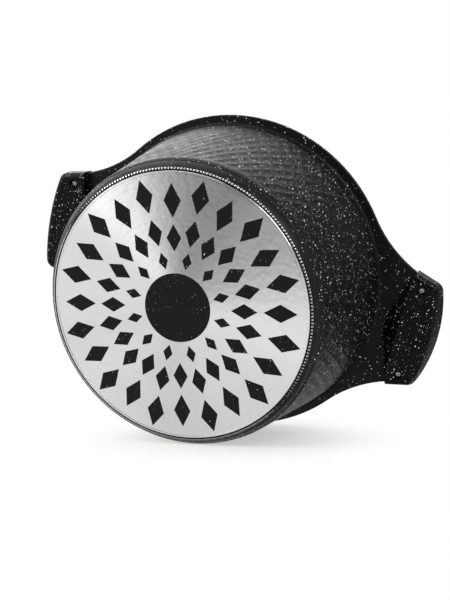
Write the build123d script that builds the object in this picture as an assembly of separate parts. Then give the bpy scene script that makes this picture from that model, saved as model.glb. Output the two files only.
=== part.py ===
from build123d import *
import os
from math import acos, asin, atan2, cos, degrees, hypot, radians, sin, sqrt, tan

os.makedirs("parts", exist_ok=True)

# A casserole of cast aluminium with a perforated steel induction plate, two screwed-on
# grips and a glass lid. Sizes are in millimetres. The origin is the centre of the
# underside, +Z goes up to the lid, and +X goes out along one of the two handles.

# Casting: bowl
base_radius = 95.0
turned_edge_width = 1.7
turned_edge_rise = 0.6
turned_edge_lift = 0.15
corner_height = 9.5
corner_spread = 4.75
wall_angle = 8.0
wall_thickness = 3.5
floor_thickness = 4.5
inner_corner_radius = 12.0
pot_height = 112.0
band_top_gap = 12.6
band_relief = 0.35

# Casting: rim flange with the seat of the lid
flange_overhang = 7.2
flange_thickness = 3.5
flange_edge_radius = 0.9
fold_radius = 2.0
seat_lip_width = 3.3
seat_depth = 1.8

# Casting: ears that carry the grips
ear_flow_radius = 95.0
ear_shoulder_half_width = 43.6
ear_tongue_half_width = 38.0
ear_tongue_length = 24.0
ear_tongue_corner = 8.0

# Induction plate and its windows
plate_thickness = 1.0
plate_gap = 0.2
plate_groove_width = 0.7
plate_groove_depth = 0.3
plate_groove_inset = 1.2
centre_window_radius = 24.0
spoke_count = 12
outer_window_place = 77.8
outer_window_length = 23.4
outer_window_width = 12.8
middle_window_place = 52.6
middle_window_length = 18.7
middle_window_width = 10.7
inner_window_place = 33.2
inner_window_length = 12.0
inner_window_width = 7.0
between_outer_window_place = 73.3
between_outer_window_length = 23.5
between_outer_window_width = 12.4
between_inner_window_place = 48.1
between_inner_window_length = 18.6
between_inner_window_width = 10.6
boss_gap = 0.08
boss_setback = 0.12

# Grips
grip_gap = 0.3
grip_stand_off = 1.6
grip_nose_radius = 36.0
grip_nose_half_width = 19.0
grip_nose_blend = 15.0
grip_half_width = 44.2
grip_inner_bow = 13.1
grip_side_length = 19.4
grip_side_taper = 5.7
grip_corner_radius = 7.5
grip_top_bow = 8.4
grip_bottom_bow = 3.0
grip_below_ear = 7.0
grip_above_ear = 6.0
grip_slope_run = 11.0
grip_slope_height = 5.6
grip_edge_radius = 4.0
slot_gap = 0.25

# Grip screws and the brass inserts that they turn into
screw_side_margin = 4.8
screw_inset = 20.7
screw_diameter = 3.0
screw_head_diameter = 5.5
screw_head_height = 2.0
screw_head_sink = 2.0
screw_tip_gap = 0.6
screw_slack = 0.4
insert_diameter = 5.0
insert_cover = 1.6
insert_set_back = 0.3
insert_fit = 0.05

# Lid: rim band and glass
lid_gap = 0.5
band_steel = 0.6
band_lip_width = 3.4
glass_thickness = 4.0
glass_edge_gap = 0.1
glass_edge_width = 4.5
glass_shoulder_radius = 9.0
dome_rise = 25.0
glass_pad_radius = 13.0
glass_hole_radius = 4.5
vent_place = 64.0
vent_hole_radius = 4.6
vent_bore_radius = 3.4
vent_flange_radius = 6.4
vent_steel = 0.5
vent_gap = 0.1

# Lid: knob and what clamps it to the glass
collar_radius = 21.0
collar_height = 3.0
collar_steel = 0.8
knob_foot_radius = 12.5
knob_foot_height = 2.0
knob_waist_lean = 0.35
knob_radius = 21.5
knob_height = 27.0
knob_rim_height = 9.0
knob_edge_radius = 3.0
knob_crown = 2.5
knob_screw_diameter = 5.0
knob_screw_head_diameter = 9.0
knob_screw_head_height = 3.0
washer_radius = 9.0
washer_thickness = 1.0
seal_radius = 10.0
seal_thickness = 1.5
knob_insert_diameter = 9.0
knob_insert_length = 12.0

# Places that follow from the sizes above
recess_radius = base_radius - turned_edge_width
wall_foot_radius = base_radius + corner_spread
flange_underside = pot_height - flange_thickness
seat_height = pot_height - seat_depth
floor_height = plate_thickness + floor_thickness
band_top = pot_height - band_top_gap


def wall_radius(height):
    """Outer radius of the tapered wall at a height."""
    return wall_foot_radius + (height - corner_height) * tan(radians(wall_angle))


wall_slant = wall_thickness / cos(radians(wall_angle))
flange_radius = wall_radius(flange_underside) + flange_overhang
seat_radius = flange_radius - seat_lip_width
plate_radius = recess_radius - plate_gap
fold_tangent = fold_radius * tan(radians(90 + wall_angle) / 2)


def turned(face):
    """Solid of revolution about the vertical axis, from a face drawn with its height as Y."""
    return revolve(Rot(90, 0, 0) * face, Axis.Z)


def outline(*points):
    """Straight closed outline."""
    return Polyline(*points, close=True)


def both_sides(solid):
    """The same solid at the +X handle and at the -X handle."""
    return [solid, Rot(0, 0, 180) * solid]


# Seen from above, the inner edge of a grip is a round nose with a straight flank on either
# side, which ends at the grip's side.
grip_inner_x = flange_radius + grip_stand_off
grip_end_x = grip_inner_x + grip_inner_bow
nose_end_x = grip_inner_x + grip_nose_radius - sqrt(grip_nose_radius ** 2 - grip_nose_half_width ** 2)


def flank_x(y):
    """Place of the straight flank of the grip's inner edge, at a distance from its middle."""
    share = (y - grip_nose_half_width) / (grip_half_width - grip_nose_half_width)
    return nose_end_x + (grip_end_x - nose_end_x) * share


# The ear leaves the round flange in a hollow arc that is tangent to it and ends at the
# shoulder, where the grip begins. The shoulder runs along the flank of the grip.
ear_level = flange_radius + ear_flow_radius
shoulder_x = flank_x(ear_shoulder_half_width) - grip_gap
tongue_root_x = flank_x(ear_tongue_half_width) - grip_gap
shoulder_reach = hypot(shoulder_x, ear_shoulder_half_width)
shoulder_angle = atan2(ear_shoulder_half_width, shoulder_x)
flow_angle = shoulder_angle + acos(
    (shoulder_reach ** 2 + ear_level ** 2 - ear_flow_radius ** 2) / (2 * shoulder_reach * ear_level)
)
tongue_end_x = grip_inner_x + ear_tongue_length


def polar(radius, angle):
    """Point on a circle about the pot's axis, with the angle in radians."""
    return (radius * cos(angle), radius * sin(angle))


def ear_edges():
    """Right ear's outline, from its lower tangent point round the tongue to the upper one."""
    centre = polar(ear_level, flow_angle)
    start = polar(flange_radius, flow_angle)
    end = (shoulder_x, ear_shoulder_half_width)
    middle_angle = (
        atan2(start[1] - centre[1], start[0] - centre[0]) + atan2(end[1] - centre[1], end[0] - centre[0])
    ) / 2
    middle = (
        centre[0] + ear_flow_radius * cos(middle_angle),
        centre[1] + ear_flow_radius * sin(middle_angle),
    )
    root = (tongue_root_x, ear_tongue_half_width)
    side_end = (tongue_end_x - ear_tongue_corner, ear_tongue_half_width)
    tip_start = (tongue_end_x, ear_tongue_half_width - ear_tongue_corner)
    diagonal = ear_tongue_corner * (1 - sqrt(0.5))
    corner_mid = (tongue_end_x - diagonal, ear_tongue_half_width - diagonal)
    upper = [
        ThreePointArc(start, middle, end),
        Line(end, root),
        Line(root, side_end),
        ThreePointArc(side_end, corner_mid, tip_start),
    ]
    lower = [mirror(edge, Plane.XZ) for edge in upper]
    tip = Line((tip_start[0], -tip_start[1]), tip_start)
    return upper + [tip] + lower


def flange_plate():
    """Flat ring of the rim and both ears in one outline, with softened edges."""
    right_ear = ear_edges()
    edges = right_ear + [Rot(0, 0, 180) * edge for edge in right_ear]
    for side in (1, -1):
        first = polar(flange_radius, side * flow_angle)
        edges.append(ThreePointArc(first, (0, side * flange_radius), (-first[0], first[1])))
    plate = extrude(make_face(edges), flange_thickness)
    soft = [
        edge
        for edge in plate.edges().filter_by(GeomType.CIRCLE)
        if abs(edge.radius - flange_radius) < 0.01 or abs(edge.radius - ear_flow_radius) < 0.01
        if abs(edge.center().Z) < 0.01 or abs(edge.center().Z - flange_thickness) < 0.01
    ]
    return Pos(0, 0, flange_underside) * fillet(soft, flange_edge_radius)


def window_faces(shrink):
    """Diamond windows of the plate, each side moved in by shrink, as flat faces."""
    rows = [
        (outer_window_place, outer_window_length, outer_window_width, 0.0),
        (middle_window_place, middle_window_length, middle_window_width, 0.0),
        (inner_window_place, inner_window_length, inner_window_width, 0.0),
        (between_outer_window_place, between_outer_window_length, between_outer_window_width, 0.5),
        (between_inner_window_place, between_inner_window_length, between_inner_window_width, 0.5),
    ]
    faces = []
    for place, length, width, step in rows:
        side = hypot(length, width) / 2
        half_length = length / 2 - shrink * 2 * side / width
        half_width = width / 2 - shrink * 2 * side / length
        diamond = make_face(
            outline((-half_length, 0), (0, -half_width), (half_length, 0), (0, half_width))
        )
        for spoke in range(spoke_count):
            turn = 360 / spoke_count * (spoke + step)
            faces.append(Rot(0, 0, turn) * Pos(place, 0) * diamond)
    return faces


def pot_body():
    """Casting: bowl with a textured band, rim flange, ears and the bosses of the base."""
    corner_top = (wall_foot_radius, corner_height)
    wall_slope = (sin(radians(wall_angle)), cos(radians(wall_angle)))
    band_end = (wall_radius(band_top), band_top)
    fold_start_height = flange_underside - fold_tangent * cos(radians(wall_angle))
    fold_start = (wall_radius(fold_start_height), fold_start_height)
    fold_end = (wall_radius(flange_underside) + fold_tangent, flange_underside)
    profile = [
        Line((0, plate_thickness), (recess_radius, plate_thickness)),
        Line((recess_radius, plate_thickness), (recess_radius, turned_edge_lift)),
        Line((recess_radius, turned_edge_lift), (base_radius, turned_edge_rise)),
        TangentArc(corner_top, (base_radius, turned_edge_rise), tangent=(-wall_slope[0], -wall_slope[1])),
        Line(corner_top, (corner_top[0] + band_relief, corner_height)),
        Line((corner_top[0] + band_relief, corner_height), (band_end[0] + band_relief, band_top)),
        Line((band_end[0] + band_relief, band_top), band_end),
        Line(band_end, fold_start),
        TangentArc(fold_start, fold_end, tangent=wall_slope),
        Line(fold_end, (fold_end[0], pot_height)),
        Line((fold_end[0], pot_height), (0, pot_height)),
        Line((0, pot_height), (0, plate_thickness)),
    ]
    body = turned(make_face(profile)) + flange_plate()

    inner_foot = wall_radius(floor_height) - wall_slant
    inner_top = wall_radius(seat_height) - wall_slant
    above = pot_height + 1
    cavity = outline(
        (0, floor_height), (inner_foot, floor_height), (inner_top, seat_height),
        (seat_radius, seat_height), (seat_radius, above), (0, above),
    )
    cavity = make_face(cavity)
    foot = cavity.vertices().sort_by(Axis.Y)[:2].sort_by(Axis.X)[-1]
    cavity = fillet(foot, inner_corner_radius)
    body -= turned(cavity)

    boss_height = plate_thickness - boss_setback + floor_thickness / 2
    faces = window_faces(boss_gap) + [Circle(centre_window_radius - boss_gap)]
    body += [Pos(0, 0, boss_setback) * extrude(face, boss_height) for face in faces]

    holes = [Pos(x, y, 0) * extrude(Circle(screw_diameter / 2 + screw_slack), 2 * pot_height)
             for x, y in screw_places(1) + screw_places(-1)]
    return body - holes


def induction_plate():
    """Steel disc with diamond windows, a centre window and a turned groove near its edge."""
    plate = extrude(Circle(plate_radius) - Circle(centre_window_radius), plate_thickness)
    plate -= [Pos(0, 0, -1) * extrude(face, plate_thickness + 2) for face in window_faces(0)]
    groove_outer = plate_radius - plate_groove_inset
    groove = Circle(groove_outer) - Circle(groove_outer - plate_groove_width)
    plate -= extrude(groove, plate_groove_depth)
    rim = plate.edges().filter_by(GeomType.CIRCLE).filter_by(lambda e: e.radius > plate_radius - 0.01)
    return chamfer(rim.sort_by(Axis.Z)[0], plate_groove_depth)


# Heights and places in the grip
grip_bottom = flange_underside - grip_below_ear
grip_top = pot_height + grip_above_ear
grip_corner_x = grip_end_x + grip_side_length
grip_outer_x = grip_corner_x + grip_top_bow
screw_x = grip_outer_x - screw_inset
screw_y = ear_tongue_half_width - screw_side_margin
head_seat = grip_bottom + screw_head_sink + screw_head_height
insert_bottom = pot_height + slot_gap + insert_set_back
insert_top = grip_top - insert_cover


def screw_places(side):
    """Centres of one grip's two screws."""
    return [(side * screw_x, y) for y in (-screw_y, screw_y)]


def grip_outline(outer_bow):
    """Grip seen from above: nosed inner edge, straight tapered sides, bowed outer edge."""
    corner_y = grip_half_width - grip_side_taper
    upper = [
        Line((nose_end_x, grip_nose_half_width), (grip_end_x, grip_half_width)),
        Line((grip_end_x, grip_half_width), (grip_corner_x, corner_y)),
    ]
    nose = ThreePointArc(
        (nose_end_x, -grip_nose_half_width), (grip_inner_x, 0), (nose_end_x, grip_nose_half_width))
    outer = ThreePointArc(
        (grip_corner_x, corner_y), (grip_corner_x + outer_bow, 0), (grip_corner_x, -corner_y))
    return make_face([nose, outer] + upper + [mirror(edge, Plane.XZ) for edge in upper])


def upright_edges(solid):
    """Edges of a solid that stand straight up."""
    spans = [(edge, edge.position_at(1) - edge.position_at(0)) for edge in solid.edges()]
    return [edge for edge, span in spans if hypot(span.X, span.Y) < 0.001 < abs(span.Z)]


def slope_cutter(level, direction):
    """Wedge that slopes off the grip's inner edge, below (-1) or above (1) the ear."""
    far = grip_top - grip_bottom
    run = grip_slope_run * far / grip_slope_height
    wedge = make_face(outline(
        (grip_inner_x - run, level), (grip_inner_x, level),
        (grip_inner_x + run, level + direction * far), (grip_inner_x - run, level + direction * far),
    ))
    return extrude(Rot(90, 0, 0) * wedge, 2 * grip_half_width, both=True)


def grip():
    """One moulded grip: slotted over the ear, sloped towards the pot, rounded outside."""
    lower_face = Pos(0, 0, grip_bottom) * grip_outline(grip_bottom_bow)
    upper_face = Pos(0, 0, grip_top) * grip_outline(grip_top_bow)
    block = loft([lower_face, upper_face], ruled=True)
    corners = [edge for edge in upright_edges(block) if edge.center().X > grip_end_x + 1]
    block = fillet(corners, grip_corner_radius)
    nose_ends = [edge for edge in upright_edges(block) if edge.center().X < nose_end_x + 1]
    block = fillet(nose_ends, grip_nose_blend)
    rims = [edge for edge in block.edges().filter_by(Plane.XY) if edge.center().X > grip_end_x]
    block = fillet(rims, grip_edge_radius)
    lower_start = grip_bottom + grip_slope_height
    upper_start = grip_top - grip_slope_height
    block -= slope_cutter(lower_start, -1)
    block -= slope_cutter(upper_start, 1)

    slot_half_width = ear_tongue_half_width + slot_gap
    slot_length = ear_tongue_length + grip_inner_bow + slot_gap
    slot = RectangleRounded(2 * slot_length, 2 * slot_half_width, ear_tongue_corner)
    slot = extrude(slot, flange_thickness + 2 * slot_gap)
    slot_end = tongue_end_x + slot_gap
    block -= Pos(slot_end - slot_length, 0, flange_underside - slot_gap) * slot

    for x, y in screw_places(1):
        block -= Pos(x, y, grip_bottom - 1) * extrude(
            Circle(screw_head_diameter / 2 + screw_slack), head_seat - grip_bottom + 1)
        block -= Pos(x, y, grip_bottom) * extrude(
            Circle(screw_diameter / 2 + screw_slack), pot_height - grip_bottom)
        block -= Pos(x, y, insert_bottom - 1) * extrude(
            Circle(insert_diameter / 2), insert_top - insert_bottom + 1)
    return block


def pan_screw(diameter, head_diameter, head_height, length):
    """Screw pointing up, with the bearing face of its pan head at z = 0."""
    head = Pos(0, 0, -head_height) * extrude(Circle(head_diameter / 2), head_height)
    head = chamfer(head.edges().sort_by(Axis.Z)[0], head_height * 0.4)
    return head + extrude(Circle(diameter / 2), length)


def grip_screws(side):
    """The two screws of one grip."""
    length = insert_top - screw_tip_gap - head_seat
    screw = pan_screw(screw_diameter, screw_head_diameter, screw_head_height, length)
    return Compound([Pos(x, y, head_seat) * screw for x, y in screw_places(side)])


def grip_inserts(side):
    """The two brass inserts moulded into one grip."""
    ring = Circle(insert_diameter / 2) - Circle(screw_diameter / 2 + insert_fit)
    sleeve = extrude(ring, insert_top - insert_bottom)
    return Compound([Pos(x, y, insert_bottom) * sleeve for x, y in screw_places(side)])


# The lid's band rests on the seat. The glass lies in the band and rises to a flat pad.
band_outer_radius = seat_radius - lid_gap
glass_bottom = seat_height + band_steel + glass_edge_gap
glass_top = glass_bottom + glass_thickness
band_height = glass_top + glass_edge_gap + band_steel - seat_height
glass_radius = band_outer_radius - band_steel - glass_edge_gap
shoulder_radius = glass_radius - glass_edge_width
pad_top = glass_top + dome_rise
pad_bottom = pad_top - glass_thickness


# The dome's outer face is part of a ball that meets the pad's rim and the edge's top.
ball_rise = (shoulder_radius ** 2 - glass_pad_radius ** 2 + dome_rise ** 2) / (2 * dome_rise)
ball_radius = hypot(ball_rise, glass_pad_radius)
ball_centre = pad_top - ball_rise


def ball_height(radius):
    """Height of the dome's outer face at a distance from the axis."""
    return ball_centre + sqrt(ball_radius ** 2 - radius ** 2)


def lid_rim_band():
    """Steel strip rolled round the edge of the glass, open towards the middle."""
    inner = band_outer_radius - band_lip_width
    web = band_outer_radius - band_steel
    channel = make_face(outline(
        (inner, 0), (band_outer_radius, 0), (band_outer_radius, band_height), (inner, band_height),
        (inner, band_height - band_steel), (web, band_height - band_steel),
        (web, band_steel), (inner, band_steel),
    ))
    outside = [v for v in channel.vertices() if v.X > band_outer_radius - 0.01]
    channel = fillet(outside, band_steel * 0.9)
    return Pos(0, 0, seat_height) * turned(channel)


def glass_profile():
    """Half section of the glass: flat edge, dome and flat pad round the knob's hole."""
    middle = (shoulder_radius + glass_pad_radius) / 2
    lines = [
        Line((glass_hole_radius, pad_top), (glass_hole_radius, pad_bottom)),
        Line((glass_radius, glass_top), (glass_radius, glass_bottom)),
    ]
    for drop, level in ((0, glass_top), (glass_thickness, glass_bottom)):
        pad = (glass_pad_radius, pad_top - drop)
        lines += [
            Line((glass_hole_radius, pad[1]), pad),
            ThreePointArc(pad, (middle, ball_height(middle) - drop), (shoulder_radius, level)),
            Line((shoulder_radius, level), (glass_radius, level)),
        ]
    section = make_face(lines)
    shoulders = [v for v in section.vertices() if abs(v.X - shoulder_radius) < 0.01]
    return fillet(shoulders, glass_shoulder_radius)


def at_vent(solid):
    """A solid built about the Z axis, from z = 0, moved to the vent's place on the dome."""
    tilt = degrees(asin(vent_place / ball_radius))
    return Pos(0, 0, ball_centre) * Rot(-tilt, 0, 0) * Pos(0, 0, ball_radius) * solid


def lid_glass():
    """Domed glass with a hole for the knob's screw and one for the vent's eyelet."""
    glass = turned(glass_profile())
    hole = Pos(0, 0, -2 * glass_thickness) * extrude(Circle(vent_hole_radius), 4 * glass_thickness)
    return glass - at_vent(hole)


def lid_vent_eyelet():
    """Steel eyelet through the glass, flared above and below."""
    tube = vent_bore_radius + vent_steel
    low = -glass_thickness - vent_gap
    section = outline(
        (vent_bore_radius, vent_gap + vent_steel), (vent_flange_radius, vent_gap + vent_steel),
        (vent_flange_radius, vent_gap), (tube, vent_gap), (tube, low), (vent_flange_radius, low),
        (vent_flange_radius, low - vent_steel), (vent_bore_radius, low - vent_steel),
    )
    return at_vent(turned(make_face(section)))


# The knob stands on the collar, which stands on the glass pad. One screw from below
# clamps the stack: head, steel washer, soft seal, glass, collar, knob.
seal_bottom = pad_bottom - seal_thickness
washer_bottom = seal_bottom - washer_thickness
collar_top = pad_top + collar_height
knob_top = collar_top + knob_height


def lid_seal():
    """Soft washer between the glass and the steel washer."""
    ring = Circle(seal_radius) - Circle(glass_hole_radius)
    return Pos(0, 0, seal_bottom) * extrude(ring, seal_thickness)


def lid_washer():
    """Steel washer under the screw's head."""
    ring = Circle(washer_radius) - Circle(knob_screw_diameter / 2 + screw_slack)
    return Pos(0, 0, washer_bottom) * extrude(ring, washer_thickness)


def lid_collar():
    """Pressed steel dish that spreads the knob's load on the glass."""
    hole = knob_screw_diameter / 2 + screw_slack
    slope = (collar_radius - glass_pad_radius + 1) * 0.5
    foot = glass_pad_radius - 1
    section = [
        Line((hole, pad_top), (foot, pad_top)),
        Line((foot, pad_top), (foot, collar_top - collar_steel)),
        Line((foot, collar_top - collar_steel), (foot + slope, collar_top - collar_steel)),
        Line((foot + slope, collar_top - collar_steel), (collar_radius - collar_steel, pad_top + collar_steel)),
        Line((collar_radius - collar_steel, pad_top + collar_steel), (collar_radius, pad_top + collar_steel)),
        Line((collar_radius, pad_top + collar_steel), (collar_radius, pad_top + 2 * collar_steel)),
        Line((collar_radius, pad_top + 2 * collar_steel), (foot + slope, collar_top)),
        Line((foot + slope, collar_top), (hole, collar_top)),
        Line((hole, collar_top), (hole, pad_top)),
    ]
    return turned(make_face(section))


def lid_knob():
    """Moulded knob: straight foot, hollow waist, wide rounded head with a low crown."""
    rim_low = knob_top - knob_rim_height
    neck = (knob_foot_radius, collar_top + knob_foot_height)
    crown_ball = (knob_radius ** 2 + knob_crown ** 2) / (2 * knob_crown)
    crown_middle = knob_top - crown_ball + sqrt(crown_ball ** 2 - knob_radius ** 2 / 4)
    section = make_face([
        Line((0, collar_top), (knob_foot_radius, collar_top)),
        Line((knob_foot_radius, collar_top), neck),
        TangentArc(neck, (knob_radius, rim_low), tangent=(-knob_waist_lean, 1)),
        Line((knob_radius, rim_low), (knob_radius, knob_top - knob_crown)),
        ThreePointArc((knob_radius, knob_top - knob_crown), (knob_radius / 2, crown_middle), (0, knob_top)),
        Line((0, knob_top), (0, collar_top)),
    ])
    rim = [v for v in section.vertices() if v.X > knob_radius - 0.01]
    knob = turned(fillet(rim, knob_edge_radius))
    pocket = extrude(Circle(knob_insert_diameter / 2), knob_insert_length)
    return knob - Pos(0, 0, collar_top) * pocket


def lid_knob_insert():
    """Brass insert moulded into the knob."""
    ring = Circle(knob_insert_diameter / 2) - Circle(knob_screw_diameter / 2 + insert_fit)
    return Pos(0, 0, collar_top) * extrude(ring, knob_insert_length)


def lid_knob_screw():
    """Screw that clamps the knob, its head inside the lid."""
    length = collar_top + knob_insert_length - 1 - washer_bottom
    screw = pan_screw(knob_screw_diameter, knob_screw_head_diameter, knob_screw_head_height, length)
    return Pos(0, 0, washer_bottom) * screw


nodes = {
    "pot_body": pot_body(),
    "induction_plate": induction_plate(),
    "lid_rim_band": lid_rim_band(),
    "lid_glass": lid_glass(),
    "lid_vent_eyelet": lid_vent_eyelet(),
    "lid_seal": lid_seal(),
    "lid_washer": lid_washer(),
    "lid_collar": lid_collar(),
    "lid_knob": lid_knob(),
    "lid_knob_insert": lid_knob_insert(),
    "lid_knob_screw": lid_knob_screw(),
}
for name, side, solid in zip(("right", "left"), (1, -1), both_sides(grip())):
    nodes["grip_" + name] = solid
    nodes["grip_screws_" + name] = grip_screws(side)
    nodes["grip_inserts_" + name] = grip_inserts(side)

for name, shape in nodes.items():
    export_step(shape, "parts/" + name + ".step")
    print(name, "volume", round(shape.volume / 1000, 2), "cm3")
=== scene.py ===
# %% [markdown]
# A casserole with a perforated steel base and a speckled coating
# The pot is a single aluminium casting, sprayed with a black non-stick coating that holds
# pale grains, so that it looks like granite. A steel disc is pressed into its base and
# turned on a lathe. Two moulded grips are screwed to its ears, and a glass lid lies in the
# rim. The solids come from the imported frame. This file gives each one its finish, and adds
# what is finer than the solids: the lattice cast into the wall, the parting line under the
# rim, the beads that the lathe leaves round the plate, and the screws' heads.

# %% Load the frame
import bpy
import numpy as np
from mathutils import Matrix, Vector


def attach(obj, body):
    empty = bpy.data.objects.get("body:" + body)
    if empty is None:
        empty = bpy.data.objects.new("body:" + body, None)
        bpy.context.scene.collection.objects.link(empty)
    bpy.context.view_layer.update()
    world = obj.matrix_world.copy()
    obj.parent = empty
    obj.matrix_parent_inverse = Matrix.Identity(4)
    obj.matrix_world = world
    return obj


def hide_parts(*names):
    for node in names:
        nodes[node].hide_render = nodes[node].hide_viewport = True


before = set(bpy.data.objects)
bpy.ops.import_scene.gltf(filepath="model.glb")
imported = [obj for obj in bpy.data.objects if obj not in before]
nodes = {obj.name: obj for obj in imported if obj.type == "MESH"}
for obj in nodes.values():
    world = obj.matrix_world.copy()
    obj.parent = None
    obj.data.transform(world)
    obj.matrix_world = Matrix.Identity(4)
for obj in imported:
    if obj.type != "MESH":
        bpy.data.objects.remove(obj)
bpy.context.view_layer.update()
scene = bpy.context.scene
print("solids:", ", ".join(sorted(nodes)))

# %% [markdown]
# The camera
# The photograph looks at the underside of a pot that lies on its side. The part stands
# upright in its own frame, so the camera goes below it and is turned instead. Its place and
# its three axes were found by matching the solids' round base, diamonds and rim with the
# photograph. The lens follows from the same fit.

# %% Camera
FOCAL_PIXELS = 1077.0
FRAME_HEIGHT_PIXELS = 600
SENSOR_MM = 36.0
CAMERA_PLACE = Vector((0.2296, -0.2436, -0.6481))
TO_RIGHT = Vector((0.9131, -0.2069, 0.3514))
TO_TOP = Vector((-0.2994, -0.9251, 0.2333))


def square_axes(right, top):
    """Three axes at right angles: right is kept, top loses its part along right, and the
    third is their cross product."""
    x = right.normalized()
    y = (top - x * top.dot(x)).normalized()
    return x, y, x.cross(y)


camera_x, camera_y, camera_z = square_axes(TO_RIGHT, TO_TOP)
camera_data = bpy.data.cameras.new("camera")
camera_data.sensor_width = SENSOR_MM
camera_data.lens = FOCAL_PIXELS / FRAME_HEIGHT_PIXELS * SENSOR_MM
camera = bpy.data.objects.new("camera", camera_data)
camera_turn = Matrix((camera_x, camera_y, camera_z)).transposed().to_4x4()
camera.matrix_world = Matrix.Translation(CAMERA_PLACE) @ camera_turn
scene.collection.objects.link(camera)
scene.camera = camera
print("lens", round(camera_data.lens, 1), "mm")

# %% [markdown]
# Building a node tree
# Every finish is a tree of small nodes. One function adds a node, sets its values, links its
# inputs and hands on one of its outputs, so a material reads as a list of what feeds what.
# Colours are written as the hex values that a picture editor shows, and turned to the linear
# light that Blender mixes. Many patterns need a soft threshold, which is a Map Range node
# with a smooth step, so its limits and its kind of step are kept as plain values.

# %% Colours and nodes
def linear(hex_colour, share=1.0):
    """sRGB hex to linear RGBA: under 0.04045 divided by 12.92, above it the 2.4 power curve.
    share under 1 makes it darker."""
    value = np.array([int(hex_colour[i:i + 2], 16) for i in (1, 3, 5)]) / 255
    low = value / 12.92
    high = ((value + 0.055) / 1.055) ** 2.4
    return tuple(share * np.where(value <= 0.04045, low, high)) + (1.0,)


def add(tree, kind, inputs=None, output=0, **settings):
    """Adds a node and returns one output. inputs takes values and other nodes' outputs.
    settings are the node's properties or, for a name with a capital, inputs too."""
    node = tree.nodes.new("ShaderNode" + kind)
    values = dict(inputs or {})
    for name, value in settings.items():
        if name[0].isupper():
            values[name] = value
        else:
            setattr(node, name, value)
    for key, value in values.items():
        if isinstance(value, bpy.types.NodeSocket):
            tree.links.new(value, node.inputs[key])
        else:
            node.inputs[key].default_value = value
    return node.outputs[output] if node.outputs else None


MULTIPLY = {"operation": "MULTIPLY"}
ADD = {"operation": "ADD"}
SUBTRACT = {"operation": "SUBTRACT"}
SMOOTH = {"interpolation_type": "SMOOTHSTEP", "clamp": True}
COLOUR = {"data_type": "RGBA", "output": "Result"}
# A noise pattern hardly ever leaves these two levels.
NOISE_RANGE = (0.3, 0.7)


def span(low, high, to_low=0.0, to_high=1.0):
    """Limits of a Map Range node that takes low..high to to_low..to_high."""
    return {"From Min": low, "From Max": high, "To Min": to_low, "To Max": to_high}


def new_material(name):
    """An empty material, its tree and the Object coordinates."""
    material = bpy.data.materials.new(name)
    material.use_nodes = True
    tree = material.node_tree
    tree.nodes.clear()
    return material, tree, add(tree, "TexCoord", output="Object")


def dress(target, material):
    """Gives one object a single material."""
    target.data.materials.clear()
    target.data.materials.append(material)


print("black of the coating in linear light:", [round(c, 4) for c in linear("#0c0c0e")])

# %% [markdown]
# Speckled non-stick coating
# The real coating is PTFE sprayed in layers over blasted aluminium: a black base coat, then
# pale mineral flakes spattered on. It gives the eye a satin black with a fine orange peel
# and hard little grains of different sizes, from pin pricks to flakes of about a millimetre.
# Each size of grain is a Voronoi pattern: one flake may sit in each cell, most cells stay
# empty, and a little noise bends the outline, so that no flake is a perfect dot.

# %% Coating
BEND_FINENESS = 1.7
SIZE_POWER = 1.5
SMALLEST_SHARE = 0.35
SOFT_EDGE_SHARE = 0.35
SPARSE_SIZE_SHARE = 0.55
FAINTEST_TONE = 0.25
FLAKE_HEIGHT = 0.00002
CLOUD_SCALE = 60.0
CLOUD_SHADE = 0.6
ROUGHNESS_SPREAD = 0.04
# Spacing in mm, share of the cells filled, radius as a part of a cell, raggedness of the outline.
COAT_FLAKES = [(2.1, 0.6, 0.20, 0.35), (1.7, 0.5, 0.18, 0.4), (1.3, 0.5, 0.17, 0.4)]
BASE_TOP = 0.0050
BASE_FADE = 0.003
UNDERSIDE = (0.1060, 0.1095)
BASE_DENSITY = 0.5
UNDERSIDE_DENSITY = 0.65


def flakes(tree, place, density, spacing_mm, share, radius, ragged):
    """Mask of flakes in Voronoi cells: a cell is filled where its random red is under share
    times density, and inside is where the distance is under a random radius. Where there are
    fewer flakes they are also smaller."""
    cells_per_metre = 1000 / spacing_mm
    bend = add(tree, "TexNoise", {"Vector": place}, "Color", Detail=1.0,
               Scale=cells_per_metre * BEND_FINENESS)
    centred = add(tree, "VectorMath", {0: bend, 1: (0.5, 0.5, 0.5)}, **SUBTRACT)
    scaled = add(tree, "VectorMath", {0: centred}, operation="SCALE", Scale=ragged / cells_per_metre)
    moved = add(tree, "VectorMath", {0: place, 1: scaled}, **ADD)
    cells = add(tree, "TexVoronoi", {"Vector": moved}, Scale=cells_per_metre,
                Randomness=1.0).node.outputs
    parts = add(tree, "SeparateColor", {"Color": cells["Color"]}).node.outputs
    power = add(tree, "Math", {0: parts["Green"], 1: SIZE_POWER}, operation="POWER")
    size = add(tree, "Math", {0: power, 1: radius, 2: radius * SMALLEST_SHARE},
               operation="MULTIPLY_ADD")
    crowd = add(tree, "MapRange", {"Value": density, **span(0.0, 1.0, SPARSE_SIZE_SHARE)}, **SMOOTH)
    size = add(tree, "Math", {0: size, 1: crowd}, **MULTIPLY)
    inside = add(tree, "Math", {0: size, 1: cells["Distance"]}, **SUBTRACT)
    edge = add(tree, "MapRange", {"Value": inside, **span(0.0, radius * SOFT_EDGE_SHARE)}, **SMOOTH)
    filled = add(tree, "Math", {0: density, 1: share}, **MULTIPLY)
    chosen = add(tree, "Math", {0: parts["Red"], 1: filled}, operation="LESS_THAN")
    tone = add(tree, "MapRange", {"Value": parts["Blue"], **span(0.0, 0.7, FAINTEST_TONE)}, **SMOOTH)
    shown = add(tree, "Math", {0: edge, 1: chosen}, **MULTIPLY)
    return add(tree, "Math", {0: shown, 1: tone}, **MULTIPLY)


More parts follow.
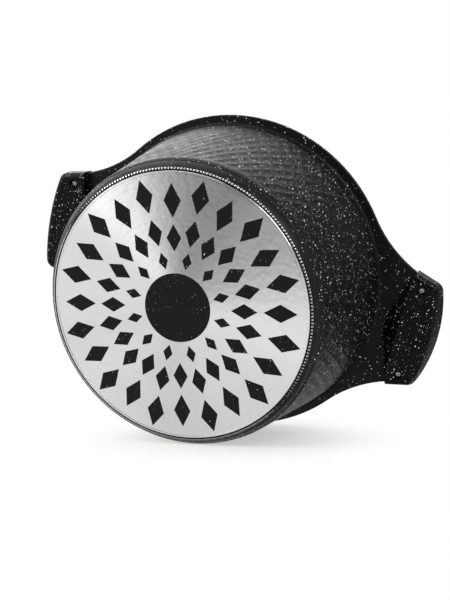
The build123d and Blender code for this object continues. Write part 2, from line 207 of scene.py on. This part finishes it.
def speckled(tree, place, density, sizes, black, pale, roughness, ior, peel_mm, peel_height):
    """Satin black with pale flakes and orange peel: the shader of a Principled node."""
    mask = 0.0
    for size in sizes:
        one_size = flakes(tree, place, density, *size)
        mask = add(tree, "Math", {0: mask, 1: one_size}, operation="MAXIMUM")
    cloud = add(tree, "TexNoise", {"Vector": place}, "Fac", Scale=CLOUD_SCALE, Detail=3.0)
    base = add(tree, "Mix", {
        "Factor": cloud, "A": linear(black), "B": linear(black, CLOUD_SHADE)}, **COLOUR)
    colour = add(tree, "Mix", {"Factor": mask, "A": base, "B": linear(pale)}, **COLOUR)
    peel = add(tree, "TexNoise", {"Vector": place}, "Fac", Scale=1000 / peel_mm, Detail=2.0)
    grains = add(tree, "Math", {0: mask, 1: FLAKE_HEIGHT}, **MULTIPLY)
    height = add(tree, "Math", {0: peel, 1: peel_height, 2: grains}, operation="MULTIPLY_ADD")
    bump = add(tree, "Bump", {"Height": height}, Strength=1.0, Distance=1.0)
    spread = span(*NOISE_RANGE, roughness - ROUGHNESS_SPREAD, roughness + ROUGHNESS_SPREAD)
    rough = add(tree, "MapRange", {"Value": cloud, **spread}, **SMOOTH)
    return add(tree, "BsdfPrincipled", {
        "Base Color": colour, "Roughness": rough, "Normal": bump, "IOR": ior})


def coating():
    """Sprayed non-stick coating. The gun follows the wall, so the base and the underside of the
    rim catch fewer flakes."""
    material, tree, place = new_material("sprayed_stone_coating")
    height = add(tree, "SeparateXYZ", {"Vector": place}, "Z")
    base = add(tree, "MapRange", {
        "Value": height, **span(BASE_TOP, BASE_TOP + BASE_FADE, BASE_DENSITY)}, **SMOOTH)
    above = add(tree, "Math", {0: height, 1: UNDERSIDE[0]}, operation="GREATER_THAN")
    below = add(tree, "Math", {0: height, 1: UNDERSIDE[1]}, operation="LESS_THAN")
    rim = add(tree, "Math", {0: above, 1: below}, **MULTIPLY)
    rim = add(tree, "Math", {0: rim, 1: UNDERSIDE_DENSITY - 1, 2: 1.0}, operation="MULTIPLY_ADD")
    density = add(tree, "Math", {0: base, 1: rim}, **MULTIPLY)
    add(tree, "OutputMaterial", {"Surface": speckled(
        tree, place, density, COAT_FLAKES, "#0c0c0e", "#ffffff",
        roughness=0.43, ior=1.27, peel_mm=0.9, peel_height=0.00004)})
    return material


coat = coating()
dress(nodes["pot_body"], coat)
print("coating:", len(coat.node_tree.nodes), "nodes")

# %% [markdown]
# Grips and knob
# Phenolic resin is pressed in a hot steel mould, so it has a satin skin and soft edges. It
# gives the eye a deeper black than the pot, with a mix of coarse and fine flakes.

# %% Moulded resin
RESIN_FLAKES = [(2.0, 0.8, 0.17, 0.4), (1.3, 0.65, 0.19, 0.5), (3.0, 0.5, 0.12, 0.3)]


def moulded_resin():
    """Pressed phenolic resin with a printed granite pattern."""
    material, tree, place = new_material("pressed_phenolic_resin")
    add(tree, "OutputMaterial", {"Surface": speckled(
        tree, place, 1.0, RESIN_FLAKES, "#060607", "#fbfaf8",
        roughness=0.40, ior=1.22, peel_mm=1.6, peel_height=0.00003)})
    return material


resin = moulded_resin()
for name in ("grip_right", "grip_left", "lid_knob"):
    dress(nodes[name], resin)

# %% [markdown]
# Turned steel
# The plate is ferritic stainless steel, faced on a lathe. The tool leaves rings a fraction
# of a millimetre apart, which the eye sees as two bright fans: each ring throws the lamp's
# light across itself. A round tangent and strong anisotropy do this without modelling the
# rings, and rings of noise that depend on the radius alone add the uneven marks. The grooves
# lean outwards a little, and a shallow pattern of cells is the mark of the lathe's chatter.

# %% Turned steel
RING_MM = 0.9
GROOVE_LEAN = 0.08
RING_DEPTH = 0.000004
RING_ROUGHNESS = 0.05
CHATTER_MM = 3.2
CHATTER_DEPTH = 0.00006
SMEAR_SCALE = 35.0
SMEAR_ROUGHNESS = (0.24, 0.27)
GROOVE_STRENGTH = 0.85
QUARTER_TURN = 0.25


def turned_steel():
    """Lathe-faced stainless steel with round tool marks, each leaning a little outwards."""
    material, tree, place = new_material("turned_stainless_steel")
    axis = add(tree, "SeparateXYZ", {"Vector": place}).node.outputs
    flat = add(tree, "CombineXYZ", {"X": axis["X"], "Y": axis["Y"]})
    radius = add(tree, "VectorMath", {0: flat}, "Value", operation="LENGTH")
    along = add(tree, "Math", {0: radius, 1: 1000 / RING_MM}, **MULTIPLY)
    along = add(tree, "CombineXYZ", {"X": along})
    rings = add(tree, "TexNoise", {"Vector": along}, "Fac", Scale=1.0, Detail=4.0)
    smear = add(tree, "TexNoise", {"Vector": place}, "Fac", Scale=SMEAR_SCALE, Detail=2.0)
    tone = add(tree, "Mix", {
        "Factor": rings, "A": linear("#dedede"), "B": linear("#eeeeef")}, **COLOUR)
    ring_rough = add(tree, "MapRange", {
        "Value": rings, **span(*NOISE_RANGE, 0.0, RING_ROUGHNESS)}, **SMOOTH)
    smear_rough = add(tree, "MapRange", {
        "Value": smear, **span(*NOISE_RANGE, *SMEAR_ROUGHNESS)}, **SMOOTH)
    rough = add(tree, "Math", {0: ring_rough, 1: smear_rough}, **ADD)
    chatter = add(tree, "TexVoronoi", {"Vector": place}, feature="SMOOTH_F1",
                  Scale=1000 / CHATTER_MM)
    waves = add(tree, "Math", {0: chatter, 1: CHATTER_DEPTH}, **MULTIPLY)
    waves = add(tree, "Math", {0: rings, 1: RING_DEPTH, 2: waves}, operation="MULTIPLY_ADD")
    bump = add(tree, "Bump", {"Height": waves}, Strength=1.0, Distance=1.0)
    outward = add(tree, "VectorMath", {0: flat}, operation="NORMALIZE")
    lean = add(tree, "VectorMath", {0: outward}, operation="SCALE", Scale=GROOVE_LEAN)
    facing = add(tree, "VectorMath", {0: bump, 1: lean}, **ADD)
    facing = add(tree, "VectorMath", {0: facing}, operation="NORMALIZE")
    tangent = add(tree, "Tangent", direction_type="RADIAL", axis="Z")
    shader = add(tree, "BsdfPrincipled", {
        "Base Color": tone, "Roughness": rough, "Normal": facing, "Tangent": tangent,
        "Metallic": 1.0, "Anisotropic": GROOVE_STRENGTH, "Anisotropic Rotation": QUARTER_TURN})
    add(tree, "OutputMaterial", {"Surface": shader})
    return material


steel = turned_steel()
dress(nodes["induction_plate"], steel)
print("plate: rings", RING_MM, "mm apart, chatter cells", CHATTER_MM, "mm wide")

# %% [markdown]
# The lattice of the wall
# The pot's wall is cast with a band of diamonds: thin ridges cross each other, and each
# cell between them is a shallow dimple. It is too fine for the solid, so it is a skin over
# the wall. It is one surface of two parameters, the angle and the height, whose distance
# from the axis is the cone of the wall plus the relief. First come the two formulas.

# %% Wall and relief
BAND_LOW = 0.0093
BAND_HIGH = 0.0996
RIDGE_POWER = 0.7
WALL_FOOT = (0.09975, 0.0095)
WALL_TILT = np.tan(np.radians(8.0))
CORNER_CENTRE = (0.085208, 0.011544)
CORNER_RADIUS = 0.014685


def wall_radius(height):
    """Outer radius of the casting: above the foot a cone, below it the arc of the corner,
    centre radius + sqrt(arc radius squared - (height - centre height) squared)."""
    cone = WALL_FOOT[0] + (height - WALL_FOOT[1]) * WALL_TILT
    below = np.minimum(height - CORNER_CENTRE[1], 0)
    arc = CORNER_CENTRE[0] + np.sqrt(CORNER_RADIUS ** 2 - below ** 2)
    return np.where(height < WALL_FOOT[1], arc, cone)


def smooth(value, low, high):
    """Smooth step from 0 at low to 1 at high."""
    t = np.clip((value - low) / (high - low), 0, 1)
    return t * t * (3 - 2 * t)


def lattice_depth(turns, rows):
    """Depth of the dimples: one sine bump along each diagonal, multiplied, so that it is 0 on
    every ridge, and raised to a power that keeps the ridges sharp."""
    first = np.abs(np.sin(np.pi * (turns + rows)))
    second = np.abs(np.sin(np.pi * (turns - rows)))
    return (first * second) ** RIDGE_POWER


print("wall radius at the foot and the top:", wall_radius(BAND_LOW), wall_radius(BAND_HIGH))

# %% [markdown]
# From a grid to a mesh
# The wall's skin, the parting line and the turned edge are all closed rings. Each is a grid
# of points, rows by columns, that is joined up round both ways, so it has no open border.

# %% Rings and meshes
def ring_points(angle, radius, height):
    """Points at an angle round the pot's axis, a distance from it and a height."""
    return np.stack([radius * np.cos(angle), radius * np.sin(angle), height], -1)


def smooth_mesh(name, points, faces):
    """Mesh of points and faces with smooth shading."""
    mesh = bpy.data.meshes.new(name)
    mesh.from_pydata(points.tolist(), [], faces)
    mesh.update()
    mesh.polygons.foreach_set("use_smooth", np.ones(len(mesh.polygons), bool))
    return mesh


def ring_mesh(name, points):
    """Mesh of a grid of points, closed round its columns and round its rows. Each square is
    cut along its flatter diagonal, so that ridges stay sharp."""
    rows, columns = points.shape[:2]
    index = np.arange(rows * columns).reshape(rows, columns)
    right = np.roll(index, -1, 1)
    a, b, c, d = (x.ravel() for x in (index, right, np.roll(right, -1, 0), np.roll(index, -1, 0)))
    flat = points.reshape(-1, 3)
    radius = np.hypot(flat[:, 0], flat[:, 1]) - flat[:, 2] * WALL_TILT
    cut = np.abs(radius[a] - radius[c]) <= np.abs(radius[b] - radius[d])
    first = np.where(cut[:, None], np.c_[a, b, c], np.c_[a, b, d])
    second = np.where(cut[:, None], np.c_[a, c, d], np.c_[b, c, d])
    return smooth_mesh(name, flat, np.concatenate([first, second]).tolist())


def new_piece(mesh, material=None):
    """Object of a mesh, under the mesh's name, in the scene."""
    piece = bpy.data.objects.new(mesh.name, mesh)
    scene.collection.objects.link(piece)
    if material:
        dress(piece, material)
    return piece


# %% [markdown]
# The skin of the wall
# The skin's outside follows the relief and its inside is one plain strip sunk in the wall.
# The relief starts softly at the corner and ends in scallops under the rim, as the cast does.

# %% Lattice
CELLS_AROUND = 72
CELL_HEIGHT = 0.0170
CELL_START = 0.04
SAMPLES_PER_CELL = 14
ROW_STEP = 0.0011
DIMPLE_DEPTH = 0.00055
BAND_PROUD = 0.00035
SKIN_LOW = 0.0064
SKIN_LIFT = 0.00003
SKIN_ROOT = 0.0003
FADE_IN = 0.008
FADE_OUT = 0.004
RUN_OUT = 0.0022
SCALLOP = 0.0016


def lattice_skin():
    """Closed ring: outside follows the relief, inside is one plain strip sunk in the wall.
    The relief runs out softly at the corner, and in scallops, one to a cell, under the rim."""
    columns = CELLS_AROUND * SAMPLES_PER_CELL
    rows = int(round((BAND_HIGH - SKIN_LOW) / ROW_STEP))
    turns, share = np.meshgrid(np.arange(columns) / SAMPLES_PER_CELL, np.linspace(0, 1, rows + 1))
    scallop = SCALLOP * np.abs(np.sin(np.pi * turns))
    height = SKIN_LOW + (BAND_HIGH + RUN_OUT + scallop - SKIN_LOW) * share
    top = BAND_HIGH + scallop
    present = smooth(height, BAND_LOW, BAND_LOW + FADE_IN) * smooth(height, top, top - FADE_OUT)
    dimples = lattice_depth(turns, height / CELL_HEIGHT + CELL_START) * present
    proud = smooth(height, SKIN_LOW, BAND_LOW) * smooth(height, top + RUN_OUT, top)
    relief = (BAND_PROUD + SKIN_LIFT) * proud + DIMPLE_DEPTH * (proud - dimples)
    relief -= 2 * SKIN_LIFT * (1 - proud)
    outer = wall_radius(height) + relief
    ends = height[[-1, 0]]
    all_radii = np.vstack([outer, wall_radius(ends) - SKIN_ROOT])
    angle = 2 * np.pi * turns[0] / CELLS_AROUND
    mesh = ring_mesh("wall_lattice", ring_points(angle, all_radii, np.vstack([height, ends])))
    print("lattice:", CELLS_AROUND, "cells around,", len(mesh.polygons), "triangles")
    return mesh


lattice = new_piece(lattice_skin(), coat)
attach(lattice, "pot")

# %% [markdown]
# The parting line
# Where the wall folds out into the rim, the two halves of the casting die meet and leave a
# thin raised line. It is a torus, half sunk in the wall, and the light picks it out.

# %% Parting line
PARTING_HEIGHT = 0.1057
PARTING_RADIUS = 0.00035
PARTING_COLUMNS = 720
PARTING_ROWS = 12


def parting_line():
    """Torus: the distance from the axis is the wall's radius plus the tube's radius times the
    cosine of the angle round the tube, and the height goes with the sine."""
    angle, around = np.meshgrid(np.linspace(0, 2 * np.pi, PARTING_COLUMNS, endpoint=False),
                                np.linspace(0, 2 * np.pi, PARTING_ROWS, endpoint=False))
    radius = wall_radius(PARTING_HEIGHT) + PARTING_RADIUS * np.cos(around)
    height = PARTING_HEIGHT + PARTING_RADIUS * np.sin(around)
    mesh = ring_mesh("parting_line", ring_points(angle, radius, height))
    print("parting line:", len(mesh.polygons), "triangles")
    return mesh


line = new_piece(parting_line(), coat)
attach(line, "pot")

# %% [markdown]
# The turned edge
# After the plate is pressed in, the lathe faces the base and cuts the coating off the edge
# round the plate. The tool chatters there and leaves a row of small bright beads. The ring is
# a surface of two parameters, the angle and the way across the edge: the plain bevel plus a
# round bead every 2.3 mm. Between the beads the ring is sunk, so that the coating shows. The
# chatter is loudest on one side and dies down towards the other, where the cut is even.

# %% Turned edge
BEADS = 260
SAMPLES_PER_BEAD = 16
BEAD_ROWS = 9
BEAD_LENGTH_SHARE = 0.66
EDGE_INNER = (0.09410, 0.00036)
EDGE_OUTER = (0.09530, 0.00087)
BEAD_HEIGHT = 0.00032
EDGE_ROOT = 0.0002
LOUDEST = np.radians(-65.0)
QUIET_HEIGHT_SHARE = 0.35
QUIET_RANGE = (0.4, 0.1)


def beaded_edge():
    """Closed ring of ellipsoids: bevel point + normal * (bead height * sqrt(1 - a^2 - b^2) - sink),
    where a runs from -1 to 1 across the edge and b from -1 to 1 along one bead. Where the
    chatter is quiet the ring is an even half round, height times sqrt(1 - a^2)."""
    columns = BEADS * SAMPLES_PER_BEAD
    turns, across = np.meshgrid(np.arange(columns) / SAMPLES_PER_BEAD, np.linspace(0, 1, BEAD_ROWS))
    along = (2 * (turns % 1.0) - 1) / BEAD_LENGTH_SHARE
    round_share = 1 - (2 * across - 1) ** 2
    swell = np.sqrt(np.clip(round_share - along ** 2, 0, 1))
    angle = 2 * np.pi * turns / BEADS
    loud = (0.5 + 0.5 * np.cos(angle - LOUDEST)) ** 2
    even = QUIET_HEIGHT_SHARE * np.sqrt(round_share) * smooth(loud, *QUIET_RANGE)
    lift = BEAD_HEIGHT * np.maximum(swell * loud, even) - SKIN_LIFT
    run = np.subtract(EDGE_OUTER, EDGE_INNER)
    normal = np.array([run[1], -run[0]]) / np.hypot(*run)
    radius = EDGE_INNER[0] + run[0] * across + normal[0] * lift
    height = EDGE_INNER[1] + run[1] * across + normal[1] * lift
    sunk = np.array([EDGE_OUTER, EDGE_INNER]) - normal * EDGE_ROOT
    radius = np.vstack([radius, np.tile(sunk[:, :1], columns)])
    height = np.vstack([height, np.tile(sunk[:, 1:], columns)])
    mesh = ring_mesh("turned_edge", ring_points(angle[0], radius, height))
    print("turned edge:", BEADS, "beads,", len(mesh.polygons), "triangles")
    return mesh


def bare_aluminium():
    """Freshly cut cast aluminium: bright, with a fine grain."""
    material, tree, place = new_material("turned_cast_aluminium")
    grain = add(tree, "TexNoise", {"Vector": place}, "Fac", Scale=900.0, Detail=2.0)
    tone = add(tree, "Mix", {
        "Factor": grain, "A": linear("#b4b4b6"), "B": linear("#f0f0f0")}, **COLOUR)
    rough = add(tree, "MapRange", {"Value": grain, **span(*NOISE_RANGE, 0.16, 0.26)}, **SMOOTH)
    shader = add(tree, "BsdfPrincipled", {"Base Color": tone, "Roughness": rough, "Metallic": 1.0})
    add(tree, "OutputMaterial", {"Surface": shader})
    return material


edge = new_piece(beaded_edge(), bare_aluminium())
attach(edge, "pot")

# %% [markdown]
# Pan-head screws
# Each grip hangs on two small pan-head screws with a cross recess, sunk in the underside.
# A screw is a profile turned about its own axis: a domed head, the bearing face and the
# shank. The recess is pressed into the head as a cross whose depth grows to its middle.

# %% Screws
SCREW_X = 0.14266
SCREW_Y = 0.0332
HEAD_SEAT = 0.1055
HEAD_HEIGHT = 0.0020
HEAD_RADIUS = 0.00275
SHANK_RADIUS = 0.0015
SHANK_TOP = 0.1158
CROSS_HALF_WIDTH = 0.00036
CROSS_REACH = 0.0016
CROSS_DEPTH = 0.0011
SCREW_COLUMNS = 96
HEAD_ROWS = 26
SHANK_ROWS = 6
HEAD_ROUNDNESS = 5
HEAD_CROWN = 0.12
NECK_SHARE = 1.15
TIP_SHARE = 0.7
TIP_HEIGHT = 0.0001


def turned_mesh(name, rings):
    """Mesh of several stacks of rings, rows by columns by 3 each. A fan closes the first and
    the last row."""
    points, faces, start = [], [], 0
    for grid in rings:
        rows, columns = grid.shape[:2]
        index = start + np.arange(rows * columns).reshape(rows, columns)
        right = np.roll(index, -1, 1)
        side = np.stack([index[:-1], right[:-1], right[1:], index[1:]], -1).reshape(-1, 4).tolist()
        bottom, top = start + rows * columns, start + rows * columns + 1
        fans = [(bottom, b, a) for a, b in zip(index[0], right[0])]
        fans += [(top, a, b) for a, b in zip(index[-1], right[-1])]
        points += [grid.reshape(-1, 3), grid[0].mean(0)[None], grid[-1].mean(0)[None]]
        faces += side + fans
        start += rows * columns + 2
    return smooth_mesh(name, np.concatenate(points), faces)


def screw_rings(x, y, turn):
    """One screw as rings from the head's middle outwards, round the bearing face and up the
    shank. Head: seat - height * sqrt(1 - share^5) * (1 - crown * share^2). The cross is where
    either coordinate, turned with the screw, is small, and it is deepest in the middle."""
    share = np.linspace(0.04, 1, HEAD_ROWS)
    head_r = HEAD_RADIUS * share
    dome = np.sqrt(1 - share ** HEAD_ROUNDNESS) * (1 - HEAD_CROWN * share ** 2)
    head_z = HEAD_SEAT - HEAD_HEIGHT * dome
    shank_r = np.full(SHANK_ROWS, SHANK_RADIUS)
    shank_z = np.linspace(HEAD_SEAT, SHANK_TOP, SHANK_ROWS)
    r = np.concatenate([head_r, [SHANK_RADIUS * NECK_SHARE], shank_r, [SHANK_RADIUS * TIP_SHARE]])
    z = np.concatenate([head_z, [HEAD_SEAT], shank_z, [SHANK_TOP + TIP_HEIGHT]])
    angle = np.linspace(0, 2 * np.pi, SCREW_COLUMNS, endpoint=False)
    u, v = r[:, None] * np.cos(angle), r[:, None] * np.sin(angle)
    arm_u, arm_v = (smooth(np.abs(w), CROSS_HALF_WIDTH * 1.3, CROSS_HALF_WIDTH * 0.8)
                    for w in (u, v))
    reach = smooth(r[:, None], CROSS_REACH, CROSS_REACH * 0.75)
    cross = np.maximum(arm_u, arm_v) * reach * (np.arange(len(r)) < HEAD_ROWS)[:, None]
    height = z[:, None] + cross * CROSS_DEPTH * (1 - 0.4 * r[:, None] / CROSS_REACH)
    cos, sin = np.cos(turn), np.sin(turn)
    return np.stack([x + u * cos - v * sin, y + u * sin + v * cos, height], -1)


def screw_pair(side, name, turns):
    """The two screws of one grip."""
    rings = [screw_rings(side * SCREW_X, y, turn) for y, turn in zip((-SCREW_Y, SCREW_Y), turns)]
    pair = new_piece(turned_mesh(name, rings))
    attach(pair, "pot")
    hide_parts("grip_screws_" + name.split("_")[-1])
    print(name, len(pair.data.polygons), "faces")
    return pair


screws = [screw_pair(1, "pan_screws_right", (0.5, 1.1)),
          screw_pair(-1, "pan_screws_left", (0.2, 0.9))]

# %% [markdown]
# Bright metals, glass and rubber
# The lid's band and collar are pressed stainless steel, buffed bright, which gives the eye a
# clear mirror with a little haze. The screws are zinc plated steel, a paler and duller
# metal, and the inserts are turned brass, warm yellow. The glass is tempered soda-lime,
# pressed and polished, clear with a trace of green. The seal is cast silicone rubber, dull
# and dark. All have large, weak patterns, because their real marks are too fine to show.

# %% Small finishes
WORN_SHADE = 0.85
WEAR_SPREAD = (0.7, 1.3)
RIPPLE_HEIGHT = 0.0004
GLASS_IOR = 1.5


def plain_metal(name, colour, roughness, scratch_mm):
    """A metal whose roughness and tone wander a little over a few millimetres."""
    material, tree, place = new_material(name)
    wear = add(tree, "TexNoise", {"Vector": place}, "Fac", Scale=1000 / scratch_mm, Detail=3.0)
    tone = add(tree, "Mix", {
        "Factor": wear, "A": linear(colour), "B": linear(colour, WORN_SHADE)}, **COLOUR)
    spread = span(*NOISE_RANGE, roughness * WEAR_SPREAD[0], roughness * WEAR_SPREAD[1])
    rough = add(tree, "MapRange", {"Value": wear, **spread}, **SMOOTH)
    shader = add(tree, "BsdfPrincipled", {"Base Color": tone, "Roughness": rough, "Metallic": 1.0})
    add(tree, "OutputMaterial", {"Surface": shader})
    return material


def tempered_glass():
    """Soda-lime glass: clear, a trace of green, a few faint ripples from the press."""
    material, tree, place = new_material("tempered_soda_lime_glass")
    ripple = add(tree, "TexNoise", {"Vector": place}, "Fac", Scale=18.0, Detail=1.0)
    depth = add(tree, "Math", {0: ripple, 1: RIPPLE_HEIGHT}, **MULTIPLY)
    bump = add(tree, "Bump", {"Height": depth})
    tint = add(tree, "Mix", {
        "Factor": ripple, "A": linear("#f3fbf7"), "B": linear("#fbfefc")}, **COLOUR)
    shader = add(tree, "BsdfPrincipled", {
        "Base Color": tint, "Normal": bump, "Roughness": 0.02, "Transmission Weight": 1.0,
        "IOR": GLASS_IOR})
    add(tree, "OutputMaterial", {"Surface": shader})
    return material


def silicone():
    """Cast silicone rubber, dull and slightly dusty."""
    material, tree, place = new_material("cast_silicone_rubber")
    dust = add(tree, "TexNoise", {"Vector": place}, "Fac", Scale=400.0, Detail=3.0)
    tone = add(tree, "Mix", {
        "Factor": dust, "A": linear("#1b1b1b"), "B": linear("#2c2c2b")}, **COLOUR)
    add(tree, "OutputMaterial", {
        "Surface": add(tree, "BsdfPrincipled", {"Base Color": tone, "Roughness": 0.7})})
    return material


bright_steel = plain_metal("buffed_stainless_steel", "#d4d4d3", 0.14, 6.0)
zinc = plain_metal("zinc_plated_steel", "#cfcdc4", 0.3, 1.5)
brass = plain_metal("turned_brass", "#c9a25a", 0.3, 2.0)
for name in ("lid_rim_band", "lid_vent_eyelet", "lid_collar", "lid_washer"):
    dress(nodes[name], bright_steel)
dress(nodes["lid_knob_screw"], zinc)
for pair in screws:
    dress(pair, zinc)
for name in ("grip_inserts_right", "grip_inserts_left", "lid_knob_insert"):
    dress(nodes[name], brass)
dress(nodes["lid_glass"], tempered_glass())
dress(nodes["lid_seal"], silicone())
print("materials:", ", ".join(sorted(m.name for m in bpy.data.materials)))

# %% [markdown]
# Lamps
# Four square lamps light the part at a plain level, at which a colour renders about as it is
# written. Three are placed as the photograph shows their light: over the pot, to its left,
# and to the right in front. The fourth hangs over the upright pot.

# %% Lamps
POT_MIDDLE = Vector((0, 0, 0.06))


def softbox(name, direction, distance, size, watts):
    """Square area lamp at a distance along a direction from the pot, facing it."""
    data = bpy.data.lights.new(name, "AREA")
    data.size = size
    data.energy = watts
    lamp = bpy.data.objects.new(name, data)
    direction = direction.normalized()
    turn = direction.to_track_quat("Z", "Y").to_matrix().to_4x4()
    lamp.matrix_world = Matrix.Translation(POT_MIDDLE + direction * distance) @ turn
    scene.collection.objects.link(lamp)
    print(name, watts, "W, at", [round(v, 2) for v in lamp.matrix_world.translation])


def seen(right, top, near):
    """Direction given as the photograph shows it: to the right, up, and towards the camera."""
    return camera_x * right + camera_y * top + camera_z * near


softbox("overhead", seen(-0.3, 1.0, 0.1), 1.1, 1.0, 6.0)
softbox("left_window", seen(-0.875, 0.42, 0.24), 1.1, 0.5, 6.0)
softbox("front_window", seen(0.45, 0.5, 0.74), 1.1, 0.6, 6.0)
softbox("ceiling", Vector((-0.5, -0.15, 0.85)), 1.2, 1.0, 5.0)

# %% [markdown]
# The room
# What the steel and the coating mirror is the room. It is a world of soft white cards, which
# only glossy rays meet, each a product of smooth steps along the photograph's own
# directions: rise is up in the picture, side is to its right and near is towards the
# camera. Other rays find an even soft light, and the camera finds white.

# %% Room
DARKEST = 0.04
SOFT_LIGHT = 0.75

world = bpy.data.worlds.new("studio")
scene.world = world
world.use_nodes = True
sky = world.node_tree
sky.nodes.clear()
direction = add(sky, "TexCoord", output="Generated")
rise, side, near = (
    add(sky, "VectorMath", {0: direction, 1: axis}, "Value", operation="DOT_PRODUCT")
    for axis in (camera_y, camera_x, camera_z))
# Each step: the direction it runs along, its two limits, and the levels at those limits,
# which are 0 and 1 where none are given.
cards = {
    "table": [(rise, -0.2, -0.5), (rise, -0.6, -0.88, 1.0, 0.2)],
    "left wall": [(side, -0.6, -0.85)],
    "right wall": [(side, 0.35, 0.7), (rise, -0.25, 0.1, 1.0, 0.15), (near, 0.3, -0.2, 1.0, 0.2)],
    "backdrop": [(near, 0.1, -0.3), (side, 0.25, 0.7, 1.0, 0.15), (rise, -0.4, 0.8, 0.35, 1.4)],
    "right card": [(side, 0.72, 0.9), (near, -0.35, -0.05)],
}
mirrored = DARKEST
for steps in cards.values():
    card = 1.0
    for value, *limits in steps:
        step = add(sky, "MapRange", {"Value": value, **span(*limits)}, **SMOOTH)
        card = add(sky, "Math", {0: card, 1: step}, **MULTIPLY)
    mirrored = add(sky, "Math", {0: mirrored, 1: card}, operation="MAXIMUM")
rays = add(sky, "LightPath").node.outputs
level = add(sky, "Mix", {"Factor": rays["Is Glossy Ray"], "A": SOFT_LIGHT, "B": mirrored}, "Result")
clear = add(sky, "Math", {
    0: rays["Is Camera Ray"], 1: rays["Is Transmission Ray"]}, operation="MAXIMUM")
shown = add(sky, "Math", {0: clear, 1: level}, operation="MAXIMUM")
background = add(sky, "Background", {"Color": (1, 1, 1, 1), "Strength": shown})
add(sky, "OutputWorld", {"Surface": background})
print("cards in the room:", ", ".join(cards))

# %% [markdown]
# The floor and the table
# The pot stands on a pale floor for the upright views. The floor is seen from above only, so
# the camera below looks through it. In the photograph the pot lies on a white table. That is
# a second, small sheet that touches the wall. Its grey is a painted shadow: a soft patch round the
# contact that fades out at its edge, and the pot's real shade from the lamps falls on it too.

# %% Floor and table
GRAIN_SHADE = 0.985


def stage_plane(name, centre, normal, radius, solid_radius, opacity, colour):
    """Round sheet that the camera sees from the side of its normal, while mirrors and shadows
    pass it by. Its opacity holds up to the solid radius and fades out at its edge."""
    mesh = bpy.data.meshes.new(name)
    x = normal.orthogonal().normalized()
    y = normal.cross(x)
    corners = [centre + (x * a + y * b) * radius for a, b in ((-1, -1), (1, -1), (1, 1), (-1, 1))]
    mesh.from_pydata([tuple(c) for c in corners], [], [(0, 1, 2, 3)])
    material, tree, place = new_material(name)
    away = add(tree, "VectorMath", {0: place, 1: centre}, **SUBTRACT)
    far = add(tree, "VectorMath", {0: away}, "Value", operation="LENGTH")
    limits = span(solid_radius, radius, opacity, 0.0)
    fade = add(tree, "MapRange", {"Value": far, **limits}, **SMOOTH)
    back = add(tree, "NewGeometry", output="Backfacing")
    front = add(tree, "Math", {0: 1.0, 1: back}, **SUBTRACT)
    seen_share = add(tree, "Math", {0: fade, 1: front}, **MULTIPLY)
    grain = add(tree, "TexNoise", {"Vector": place}, "Fac", Scale=9.0, Detail=2.0)
    tone = add(tree, "Mix", {
        "Factor": grain, "A": linear(colour), "B": linear(colour, GRAIN_SHADE)}, **COLOUR)
    surface = add(tree, "BsdfDiffuse", {"Color": tone})
    mix = add(tree, "MixShader", {0: seen_share, 1: add(tree, "BsdfTransparent"), 2: surface})
    add(tree, "OutputMaterial", {"Surface": mix})
    plane = new_piece(mesh, material)
    plane.visible_glossy = False
    plane.visible_diffuse = False
    plane.visible_shadow = False
    print(name, "is", round(2 * radius, 2), "m across")


FLOOR_GAP = 0.0005
FLOOR_RADIUS = 1.2
FLOOR_SOLID_RADIUS = 0.35
stage_plane("floor", Vector((0, 0, -FLOOR_GAP)), Vector((0, 0, 1)), FLOOR_RADIUS,
            FLOOR_SOLID_RADIUS, 1.0, "#f4f4f3")

TABLE_GAP = 0.0003
PAINTED_SHADOW_RADIUS = 0.125
PAINTED_SHADOW_SOLID_RADIUS = 0.02
TABLE_NORMAL = Vector((-0.3026, -0.9313, 0.2028)).normalized()
SHADE_CENTRE = Vector((0.05274, 0.09431, 0.0395))
# The table sheet's grey, at half opacity and fading out from its solid middle, is a painted shadow
# round the contact. The real shade of the pot from the lamps darkens it further.
stage_plane("table", SHADE_CENTRE - TABLE_NORMAL * TABLE_GAP, TABLE_NORMAL, PAINTED_SHADOW_RADIUS,
            PAINTED_SHADOW_SOLID_RADIUS, 0.5, "#c6c3c1")

# %% [markdown]
# Finish
# The view transform stays plain, so that a colour renders about as it is written.

# %% Finish
scene.view_settings.view_transform = "Standard"
